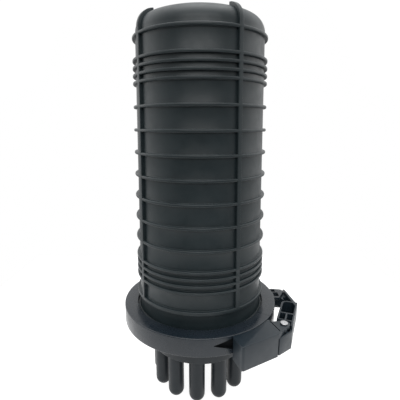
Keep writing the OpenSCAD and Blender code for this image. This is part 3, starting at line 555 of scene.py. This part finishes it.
def hoopArc(name, start, stop):
    steps = round(hoop["steps"] * (stop - start) / 360)
    sweep = stop - start - 2 * hoop["gap"]
    return spinProfile(name, hoopProfile(), steps, start + hoop["gap"], sweep)


def knuckle(low, high, side):
    # eye round the hinge's pin with a web to the hoop's wall
    piece = drum("knuckle", hingePoint, hoop["knuckle"], low, high, count=40,
                 edge=hoop["knuckleEdge"])
    out, along = at(hoop["hinge"], 1), turned(at(hoop["hinge"], 1), 90)
    near = along * hoop["knuckleGap"] * side
    far = along * (hoop["knuckleGap"] + hoop["webLength"]) * side
    inner = out * (hoop["radius"] - hoop["wall"] / 2)
    outer = out * (hoop["radius"] + hoop["knuckle"] / 2)
    plan = [inner + near, outer + near, outer + far, inner + far][::side]
    web = slab("web", plan, low, high, hoop["webEdge"])
    cutOrJoin(piece, web, "UNION")
    return piece


def fingerScoop():
    # three-cornered recess with rounded corners, cut square into the wall
    first, last = hoop["scoopStart"], hoop["scoopEnd"]
    half = hoop["radius"] * math.sin(math.radians((last - first) / 2))
    corners = [(-half, hoop["scoopPoint"]), (half, hoop["scoopLow"]), (half, hoop["scoopTop"])]
    back = -(hoop["radius"] - hoop["scoopDepth"]) * mm
    tool = traceLine("scoop", [(x * mm, back, z * mm) for x, z in corners + corners[:1]])
    fillAndExtrude(tool, (0, -2 * hoop["scoopDepth"] * mm, 0))
    makeActive(tool)
    selectEdges(tool, lambda middle, along: abs(along.y) > aligned)
    bpy.ops.mesh.bevel(offset=hoop["scoopRound"] * mm, segments=4, affect="EDGES")
    bpy.ops.object.mode_set(mode="OBJECT")
    return turnToPlace(tool, (first + last) / 2)


def frontHalf():
    half = hoopArc("hoopFrontShell", hoop["hinge"], hoop["split"])
    step, gap = hoop["knuckleHeight"], hoop["knuckleGap"]
    cutOrJoin(half, knuckle(hoop["low"], hoop["low"] + step - gap, 1), "UNION")
    cutOrJoin(half, knuckle(hoop["high"] - step + gap, hoop["high"], 1), "UNION")
    root = at(lug["root"], hoop["radius"] - hoop["wall"] / 2)
    boss = drum("boss", pivotPoint, lug["radius"], hoop["low"], lugTop, count=56,
                edge=lug["edge"])
    plan = strip(pivotPoint, root, lug["half"])
    cutOrJoin(boss, slab("web", plan, hoop["low"], lugTop, lug["webEdge"]), "UNION")
    cutOrJoin(half, boss, "UNION")
    cutOrJoin(half, fingerScoop(), "DIFFERENCE")
    for place, radius in ((hingePoint, hoop["pinRadius"]), (pivotPoint, pivot["radius"])):
        bore = drum("bore", place, radius + clear, hoop["low"] - past, hoop["high"] + past)
        cutOrJoin(half, bore, "DIFFERENCE")
    return half


def lugOutline(front, turns):
    # from the hoop's wall round the link's pin and back
    wall, rear = hoop["radius"] - hoop["rootSink"], lug["rear"] + lug["rearSpan"]
    line = list(front)
    first, last = (linkEnd["az"] - 90 + turn for turn in turns)
    for i in range(lug["eyeSteps"] + 1):
        turn = first + (last - first) * i / lug["eyeSteps"]
        line.append(linkPoint + turned((lug["eye"], 0), turn))
    return line + [at(rear, wall + lug["rearReach"]), at(rear, wall)]


def lugCells():
    # open pockets in a row, each narrower and shorter than the one before
    tool = None
    for i in range(lug["cells"]):
        turn = lug["front"] + lug["cellFirst"] + i * lug["cellStep"]
        out, along = at(turn, 1), turned(at(turn, 1), 90)
        start = out * (hoop["radius"] + lug["cellGap"])
        wide = out * (lug["cellWidth"] - lug["cellTaper"] * i)
        long = along * (lug["cellLength"] - lug["cellShort"] * i)
        plan = [start, start + wide, start + wide + long, start + long]
        cell = slab("cell", plan, earLow - past, earHigh + past)
        if tool:
            cutOrJoin(tool, cell, "UNION")
        else:
            tool = cell
    return tool


def rearHalf():
    half = hoopArc("hoopRearShell", hoop["split"], hoop["hinge"] + 360)
    step = hoop["knuckleHeight"]
    cutOrJoin(half, knuckle(hoop["low"] + step, hoop["high"] - step, -1), "UNION")
    wall, sink, low = hoop["radius"], hoop["rootSink"], lug["low"]
    lowFront = [at(lug["lowFront"], wall - sink)]
    highFront = [at(lug["front"], wall + reach) for reach in (-sink, lug["frontReach"])]
    plan = lugOutline(lowFront, lug["lowTurns"])
    lower = slab("lowerPlate", plan, low, low + lug["plate"], lug["edge"])
    upper = slab("upperPlate", lugOutline(highFront, lug["turns"]), earLow, earHigh, lug["edge"])
    cutOrJoin(upper, lugCells(), "DIFFERENCE")
    ends = [at(lug["rear"], wall + reach) for reach in (-sink, lug["rearReach"])]
    plan, inset = strip(*ends, lug["web"] / 2), lug["webInset"]
    web = slab("rearWeb", plan, low + inset, earHigh - inset, lug["webEdge"])
    cutOrJoin(half, lower, "UNION")
    cutOrJoin(half, upper, "UNION")
    cutOrJoin(half, web, "UNION")
    radius, high = hoop["pinRadius"] + clear, hoop["high"] + past
    cutOrJoin(half, drum("bore", hingePoint, radius, hoop["low"] - past, high), "DIFFERENCE")
    top = earHigh - lug["web"] / 2
    bore = drum("bore", linkPoint, linkEnd["radius"] + clear, low - past, top)
    cutOrJoin(half, bore, "DIFFERENCE")
    return half


def paintShadeInScoop(piece):
    # painted shade: the finger scoop's floor and sides get a darker, rougher plastic, so that the
    # recess looks shaded
    piece.data.materials.append(scoopPaintedShade)
    middle = math.radians((hoop["scoopStart"] + hoop["scoopEnd"]) / 2)
    for face in piece.data.polygons:
        x, y, z = face.center
        near = abs(math.atan2(x, -y) - middle) < math.radians(hoop["darkTurn"])
        deep = math.hypot(x, y) < (hoop["radius"] - hoop["darkIn"]) * mm
        facing = face.normal.x * math.sin(middle) - face.normal.y * math.cos(middle)
        low, high = hoop["scoopLow"] - hoop["darkSlack"], hoop["scoopTop"] + hoop["darkSlack"]
        if near and deep and facing > hoop["darkFacing"] and low < z / mm < high:
            face.material_index = 1


front = frontHalf()
finishPiece(front, hoopPlastic, "closure", "moulding_hoop", "hoop_front")
paintShadeInScoop(front)
finishPiece(rearHalf(), hoopPlastic, "hoop_rear_body", "moulding_hoop", "hoop_rear")

# the base: one revolved body, then the twelve closed ports with their bores
base = {
    "skirt": 70.0, "cavity": 66.0, "floor": 6.0, "pillar": 20.0, "pillarTop": 30.0, "edge": 1.4,
    "lipRadius": 87.0, "flangeRadius": 99.3, "flange": 8.2, "flangeEdge": 5.59,
    "grooveInner": 90.1, "grooveOuter": 95.5, "grooveDepth": 3.5,
    "portCount": 12, "portRadius": 10.5, "portBore": 8.3, "portCircle": 57.5, "portLength": 61.6,
    "portWall": 2.2, "portTurn": -4, "steps": 144, "portSteps": 36,
    "screwRadius": 2.0, "screwPlaces": ((-12, -1), (12, -1)), "screwDepth": 10,
}


def baseProfile():
    seal, edge, skirt = sealHeight, base["edge"], base["skirt"]
    groove = seal - base["grooveDepth"]
    line = [(0, 0)] + arcPoints(skirt - edge, edge, edge, -90, 0, count=4)
    line += arcPoints(skirt + edge, seal - base["flange"] - edge, edge, 180, 90, count=4)
    line += [(base["lipRadius"], seal - base["flange"])]
    line += [(base["flangeRadius"], seal - base["flangeEdge"]), (base["flangeRadius"], seal)]
    line += [(base["grooveOuter"], seal), (base["grooveOuter"], groove)]
    line += [(base["grooveInner"], groove), (base["grooveInner"], seal), (base["cavity"], seal)]
    line += [(base["cavity"], base["floor"]), (base["pillar"], base["floor"])]
    return line + [(base["pillar"], base["pillarTop"]), (0, base["pillarTop"])]


def portSet(name, radius, length, top):
    # one closed finger by revolving, then its copies round the base's axis
    low = radius - length
    line = [(0, top), (radius, top)] + arcPoints(0, low, radius, 0, -90, count=10)
    port = spinProfile(name, line, base["portSteps"])
    turnToPlace(port, 0, at(base["portTurn"], base["portCircle"]))
    bpy.ops.object.mode_set(mode="EDIT")
    bpy.ops.mesh.select_all(action="SELECT")
    turn = 2 * math.pi / base["portCount"]
    for i in range(base["portCount"] - 1):
        bpy.ops.mesh.duplicate()
        bpy.ops.transform.rotate(value=turn, orient_axis="Z", center_override=(0, 0, 0))
    bpy.ops.object.mode_set(mode="OBJECT")
    return port


baseBody = spinProfile("baseBody", baseProfile(), base["steps"])
ports = portSet("ports", base["portRadius"], base["portLength"], base["floor"] / 2)
cutOrJoin(baseBody, ports, "UNION")
boreLength = base["portLength"] - base["portWall"]
bores = portSet("bores", base["portBore"], boreLength, base["floor"] + past)
cutOrJoin(baseBody, bores, "DIFFERENCE")
for place in base["screwPlaces"]:
    top = base["pillarTop"]
    hole = drum("hole", place, base["screwRadius"], top - base["screwDepth"], top + past, count=24)
    cutOrJoin(baseBody, hole, "DIFFERENCE")
finishPiece(baseBody, portPlastic, "closure", "moulding_dark", "base")


# the lever: hollow handle open to the hoop, two ears for its pin
def leverOutline(shift=Vector((0, 0)), count=24):
    wall, first, last = hoop["radius"] + latch["reach"], latch["handleEnd"], latch["tip"][0]
    line = [leverTip, seam, stepOut, stepIn]
    line += [at(first + (last - first) * i / count, wall) for i in range(count + 1)]
    return [point + shift for point in line]


def leverEar(front, radius, low, high):
    # from inside the handle to the pin, past the bar
    first, second = latch["earTurns"]
    ray, rim, root = stepIn - pivotPoint, radius - latch["bite"], frontDir * latch["earRoot"]
    plan = [stepIn, stepIn - root, front - root, front, barPoint - noseIn * pivot["barRadius"]]
    plan += [pivotPoint + turned((rim, 0), heading(noseDir) + first)]
    plan += [pivotPoint + turned((rim, 0), heading(ray) + second)]
    ear = drum("ear", pivotPoint, radius, low, high, count=64, edge=latch["earEdge"])
    cutOrJoin(ear, slab("earRoot", plan, low, high), "UNION")
    around = pivot["barRadius"] + latch["barWall"]
    eye = drum("barEye", barPoint, around, low, high, count=40, edge=latch["barEdge"])
    cutOrJoin(ear, eye, "UNION")
    # the hoop's wall, with its room, is kept clear
    around = hoop["radius"] + latch["reach"]
    wall = drum("wall", Vector((0, 0)), around, low - past, high + past, count=240)
    cutOrJoin(ear, wall, "DIFFERENCE")
    return ear


def lever():
    wall, inset = latch["wall"], latch["inset"]
    handle = slab("leverBody", leverOutline(), leverLow, hoop["high"])
    roundCorner(handle, leverTip, latch["tipRound"], segments=6)
    bevelEdges(handle, latch["edge"], segments=3)
    cavity = slab("cavity", leverOutline((frontDir + frontIn) * wall), leverLow + wall, earHigh)
    cutOrJoin(handle, cavity, "DIFFERENCE")
    room = [seam, seam + frontDir * latch["noseRoom"], seam + noseIn * latch["noseRoom"]]
    cutOrJoin(handle, slab("room", room, leverLow - past, lugTop), "DIFFERENCE")
    cutOrJoin(handle, leverEar(stepOut, latch["upperEar"], earLow, earHigh), "UNION")
    lowFront = seam + frontIn * 2 * wall
    lowEar = leverEar(lowFront, latch["lowerEar"], leverLow + wall / 2, hoop["low"] - latch["run"])
    cutOrJoin(handle, lowEar, "UNION")
    for share in latch["ribs"]:
        foot = leverTip + (seam - leverTip) * share + frontIn
        plan = strip(foot, foot + frontIn * latch["ribDepth"], wall / 2)
        rib = slab("rib", plan, leverLow + inset, hoop["high"] - inset)
        cutOrJoin(handle, rib, "UNION")
    along = (stepOut - stepIn).normalized()
    back, end = turned(along, -90) * latch["grooveBack"], along * latch["grooveEnd"]
    plan = strip(stepIn + end + back, stepOut - end + back, latch["groove"] / 2)
    groove = slab("groove", plan, hoop["high"] - latch["grooveDeep"], hoop["high"] + past)
    cutOrJoin(handle, groove, "DIFFERENCE")
    low, high = leverLow - past, hoop["high"] + past
    cutOrJoin(handle, drum("bore", pivotPoint, pivot["radius"] + clear, low, high), "DIFFERENCE")
    radius = pivot["barRadius"] + clear
    barBore = drum("barBore", barPoint, radius, leverLow + inset, earHigh - inset)
    cutOrJoin(handle, barBore, "DIFFERENCE")
    return handle


finishPiece(lever(), latchPlastic, "lever_body", "moulding_hoop", "latch_lever")

# the link: cored strut with its nose, claw, tail and the eye on its pin
link = {
    "low": hoop["low"] - 2, "noseLow": leverLow + 1, "width": 21, "boxGap": 1.3, "boxTail": 4.5,
    "frontCell": 18.4, "shoulder": 8, "side": 6, "over": 1.0, "tailWall": 3,
    "eyeWall": 1.6, "eyeWeb": 22, "eyeTurns": (22, 192), "eyeEdge": 0.4,
    "noseGap": 2.0, "noseEdge": 0.3, "clawGap": 0.75, "clawSink": 0.2, "clawFoot": 4,
    "clawBack": 2.6, "clawDepth": 7, "clawFront": (0.6, -55.5), "clawRear": (2.2, 168),
    "clawInset": 0.8, "rim": 0.5, "edge": 0.6,
    "pocketIn": 3.3, "pocketRun": (10.5, 29), "pocketWide": 9, "pocketEnd": 5, "pocketSkew": 5,
}


def inLink(x, y):
    # the link's own directions: y along its side, x outwards
    return noseCorner + sideDir * y - sideIn * x


def linkShape(x0, x1, y0, y1, shoulder=0.0):
    # four-sided outline with its inner rear corner rounded
    line = [inLink(x0, y0), inLink(x1, y0), inLink(x1, y1)]
    if not shoulder:
        return line + [inLink(x0, y1)]
    rounded = arcPoints(x0 + shoulder, y1 - shoulder, shoulder, 90, 180, count=10)
    return line + [inLink(x, y) for x, y in rounded]


def linkCell(x0, x1, y0, y1, shoulder=0.0):
    # pocket from above whose mouth is chamfered
    rim, top = link["rim"], earHigh
    plan = linkShape(x0, x1, y0, y1, shoulder)
    cell = slab("cell", plan, link["low"] + latch["wall"], top + past)
    grown = linkShape(x0 - rim, x1 + rim, y0 - rim, y1 + rim, shoulder + rim if shoulder else 0)
    cutOrJoin(cell, slab("mouth", grown, top - rim, top + 2 * past, rim, segments=1), "UNION")
    return cell


def linkBody():
    wall, over, edge = latch["wall"], link["over"], link["edge"]
    noseStart = seam + noseDir * link["noseGap"]
    sidePin = (pivotPoint - noseCorner).dot(sideDir)
    y0 = sidePin + latch["upperEar"] + link["boxGap"]
    y1 = (rearCorner - noseCorner).length + link["boxTail"]
    cross, width = y0 + link["frontCell"], link["width"]
    plan = linkShape(-width, 0, y0, y1, link["shoulder"])
    body = slab("linkBody", plan, link["low"], earHigh, edge)
    inner, cell = -width + wall, (width - 2 * wall) / 2 - wall / 2
    shoulder = link["shoulder"] - wall
    cutOrJoin(body, linkCell(inner, -wall, cross + wall / 2, y1 - wall, shoulder), "DIFFERENCE")
    for x in (inner, -wall - cell):
        cutOrJoin(body, linkCell(x, x + cell, y0 + wall, cross - wall / 2), "DIFFERENCE")
    plan = linkShape(-wall, 0, link["side"], y0 + wall)
    cutOrJoin(body, slab("side", plan, link["noseLow"], earHigh, edge), "UNION")
    root = slab("root", linkShape(-wall, 0, 0, link["side"] + over), link["noseLow"], lugTop)
    cutOrJoin(body, root, "UNION")
    plan = [noseStart, noseCorner, noseCorner + sideDir * over]
    plan += [inLink(-wall, over), noseStart + noseIn * wall]
    cutOrJoin(body, slab("nose", plan, link["noseLow"], lugTop, link["noseEdge"]), "UNION")
    cutOrJoin(body, claw(noseStart), "UNION")
    tail, inwards = link["tailWall"], (tailIn - sideDir) * link["tailWall"]
    plan = [rearCorner, linkTail, linkTail + tailIn * tail, rearCorner + inwards]
    cutOrJoin(body, slab("tail", plan, link["low"], earHigh, edge), "UNION")
    cutOrJoin(body, linkEye(), "UNION")
    low, radius = link["low"] + latch["ear"] + latch["run"], linkEnd["radius"] + clear
    cutOrJoin(body, drum("bore", linkPoint, radius, low - past, lugTop + past), "DIFFERENCE")
    return body


def claw(noseStart):
    # hook on the nose's inner face that takes hold of the bar
    hold, wall = pivot["barRadius"] + link["clawGap"], latch["wall"]
    (frontReach, frontTurn), (rearReach, rearTurn) = link["clawFront"], link["clawRear"]
    back = noseCorner - noseDir * link["clawBack"]
    foot = noseStart + noseDir * link["clawFoot"] + noseIn * (wall - link["clawSink"])
    plan = [foot, back + noseIn, back + noseIn * link["clawDepth"]]
    plan += [barPoint + turned((hold + frontReach, 0), heading(noseDir) + frontTurn), barPoint]
    plan += [barPoint + turned((hold + rearReach, 0), pull + rearTurn)]
    low, high = hoop["low"] + link["clawInset"], lugTop - link["clawInset"]
    hook = slab("claw", plan, low, high)
    bossRoom = lug["radius"] + latch["run"]
    for place, radius in ((barPoint, hold), (pivotPoint, bossRoom)):
        cutOrJoin(hook, drum("room", place, radius, low - past, high + past), "DIFFERENCE")
    return hook


def linkEye():
    # round the pin, with a web that fills the corner between the tail and the box
    low = link["low"] + latch["ear"] + latch["run"]
    radius = lug["eye"] + link["eyeWall"]
    rim, half = radius - latch["bite"], link["tailWall"] / 2
    plan = [linkPoint + turned((rim, 0), linkEnd["az"] - 90 + turn) for turn in link["eyeTurns"]]
    plan += [linkPoint - tailDir * link["eyeWeb"] - tailIn]
    plan += [rearCorner + tailIn * half, linkTail + tailIn * half]
    eye = drum("eye", linkPoint, radius, low, lugTop, count=56, edge=link["eyeEdge"])
    cutOrJoin(eye, slab("eyeWeb", plan, low, lugTop), "UNION")
    # three-cornered pocket between the tail, the box and the eye
    near, far = (rearCorner + tailDir * y + tailIn * link["pocketIn"] for y in link["pocketRun"])
    plan = [near, far, far + tailIn * link["pocketEnd"]]
    plan += [near + tailIn * link["pocketWide"] + tailDir * link["pocketSkew"]]
    cutOrJoin(eye, slab("pocket", plan, low + latch["wall"], lugTop + past), "DIFFERENCE")
    return eye


finishPiece(linkBody(), latchPlastic, "link_body", "moulding_hoop", "latch_link")

# steel pins, each turned with chamfered ends and a head with a small centre dimple
pins = {
    "chamfer": 0.3, "play": 0.2, "headOut": 1.6, "headHigh": 1.5, "headRound": 0.7,
    "leverHeadOut": 1.7, "leverHeadHigh": 1.9, "dimple": 0.9, "dimpleDeep": 0.35,
    "barInset": 1.2, "steps": 40,
}


def turnedPin(name, place, radius, low, high, headOut=0.0, headHigh=0.0, flipped=False):
    # the profile is drawn with its head at the top, and turned over for a head below
    cut = pins["chamfer"]
    line = [(0, low), (radius - cut, low), (radius, low + cut)]
    if headOut:
        top, rim, soft = high + headHigh, radius + headOut, pins["headRound"]
        line += [(radius, high), (rim - cut, high), (rim, high + cut)]
        line += arcPoints(rim - soft, top - soft, soft, 0, 90, count=5)
        line += [(pins["dimple"], top), (pins["dimple"] / 2, top - pins["dimpleDeep"])]
        line += [(0, top - pins["dimpleDeep"])]
    else:
        line += [(radius, high - cut), (radius - cut, high), (0, high)]
    if flipped:
        line = [(r, low + high - z) for r, z in reversed(line)]
    return turnToPlace(spinProfile(name, line, pins["steps"]), 0, place)


play, headOut, headHigh = pins["play"], pins["headOut"], pins["headHigh"]
leverPin = turnedPin("leverPin", pivotPoint, pivot["radius"], leverLow + play, earHigh + play,
                     pins["leverHeadOut"], pins["leverHeadHigh"])
finishPiece(leverPin, pinSteel, "closure", "pin_steel", "lever_pin")
hingePin = turnedPin("hingePin", hingePoint, hoop["pinRadius"], hoop["low"] - headHigh,
                     hoop["high"] + play, headOut, headHigh)
finishPiece(hingePin, pinSteel, "closure", "pin_steel", "hoop_hinge_pin")
linkPin = turnedPin("linkPin", linkPoint, linkEnd["radius"], link["low"] - play,
                    earHigh - lug["web"] / 2 - play, headOut, headHigh, True)
finishPiece(linkPin, pinSteel, "hoop_rear_body", "pin_steel", "link_pin")
bar = turnedPin("latchBar", barPoint, pivot["barRadius"], leverLow + pins["barInset"],
                earHigh - pins["barInset"])
finishPiece(bar, pinSteel, "lever_body", "pin_steel", "latch_bar")

# floor, light and camera, in metres but for the floor's drop in millimetres
stage = {
    "floorDrop": 0.2, "floorSize": 0.9, "floorTones": (0.34, 0.36), "glow": 0.9,
    # each grade of the sky: start and end along its axis, light at the start and at the end
    "skyHeight": (-0.4, 0.1, 0.2, 0.9), "skyFront": (-0.75, 0.15, 0.2, 2.1),
    "skyBack": (0.3, 0.95, 1.0, 0.5),
    # each softbox: its place, what it aims at, its width and height, its power in watts
    "topBox": ((0, -0.15, 1.4), (0, 0, 0.2), (1.0, 1.0), 7),
    "frontBox": ((0, -1.5, 1.15), (0, 0, 0.4), (1.8, 0.8), 16),
}


def paleFloor():
    deselectAll()
    low = cadLow.z - stage["floorDrop"] * mm
    bpy.ops.mesh.primitive_plane_add(size=stage["floorSize"], location=(0, 0, low))
    floor = bpy.context.object
    floor.name = "floor"
    # lit from behind as a light table is, so that it stays white under the ports
    material, tree, shader, place = newMaterial("floorPaper", roughness=0.8, specular=0.2)
    dark, light = ((tone, tone, tone) for tone in stage["floorTones"])
    paper = ramp(tree, noise(tree, place, 3, detail=2), dark, light)
    tree.links.new(paper, shader.inputs["Base Color"])
    shader.inputs["Emission Color"].default_value = (1, 1, 1, 1)
    shader.inputs["Emission Strength"].default_value = stage["glow"]
    floor.data.materials.append(material)


def softbox(name):
    place, aim, size, power = stage[name]
    light = bpy.data.lights.new(name, "AREA")
    light.shape = "RECTANGLE"
    light.size, light.size_y = size
    light.energy = power
    lamp = bpy.data.objects.new(name, light)
    bpy.context.scene.collection.objects.link(lamp)
    lamp.location = place
    lamp.rotation_euler = (Vector(aim) - Vector(place)).to_track_quat("-Z", "Y").to_euler()


def paleWorld():
    # seen white, but it lights most from the sides, and little from below and in front
    world = bpy.data.worlds.new("paleWorld")
    world.use_nodes = True
    tree = world.node_tree
    background = tree.nodes["Background"]
    way = tree.nodes.new("ShaderNodeSeparateXYZ")
    tree.links.new(tree.nodes.new("ShaderNodeTexCoord").outputs["Generated"], way.inputs["Vector"])

    def grade(value, *numbers):
        node = tree.nodes.new("ShaderNodeMapRange")
        for socket, number in zip(("From Min", "From Max", "To Min", "To Max"), numbers):
            node.inputs[socket].default_value = number
        tree.links.new(value, node.inputs["Value"])
        return node.outputs["Result"]

    def combine(how, a, b):
        node = tree.nodes.new("ShaderNodeMath")
        node.operation = how
        tree.links.new(a, node.inputs[0])
        tree.links.new(b, node.inputs[1])
        return node.outputs["Value"]

    height = grade(way.outputs["Z"], *stage["skyHeight"])
    front, back = (grade(way.outputs["Y"], *stage[side]) for side in ("skyFront", "skyBack"))
    light = combine("MULTIPLY", combine("MULTIPLY", height, front), back)
    seen = tree.nodes.new("ShaderNodeLightPath").outputs["Is Camera Ray"]
    tree.links.new(combine("MAXIMUM", light, seen), background.inputs["Strength"])
    background.inputs["Color"].default_value = (1, 1, 1, 1)
    bpy.context.scene.world = world


# place in metres, dip in degrees below level, lens and sensor in millimetres
view = {"place": (0, -0.4533, 0.29885), "dip": 12.38, "lens": 31.0, "sensor": 36}


def mainCamera():
    data = bpy.data.cameras.new("mainCamera")
    data.lens = view["lens"]
    data.sensor_width = view["sensor"]
    camera = bpy.data.objects.new("mainCamera", data)
    camera.location = view["place"]
    camera.rotation_euler = (math.radians(90 - view["dip"]), 0, 0)
    bpy.context.scene.collection.objects.link(camera)
    bpy.context.scene.camera = camera


paleFloor()
paleWorld()
softbox("topBox")
softbox("frontBox")
mainCamera()
bpy.context.scene.view_settings.view_transform = "Standard"
print("stage set")
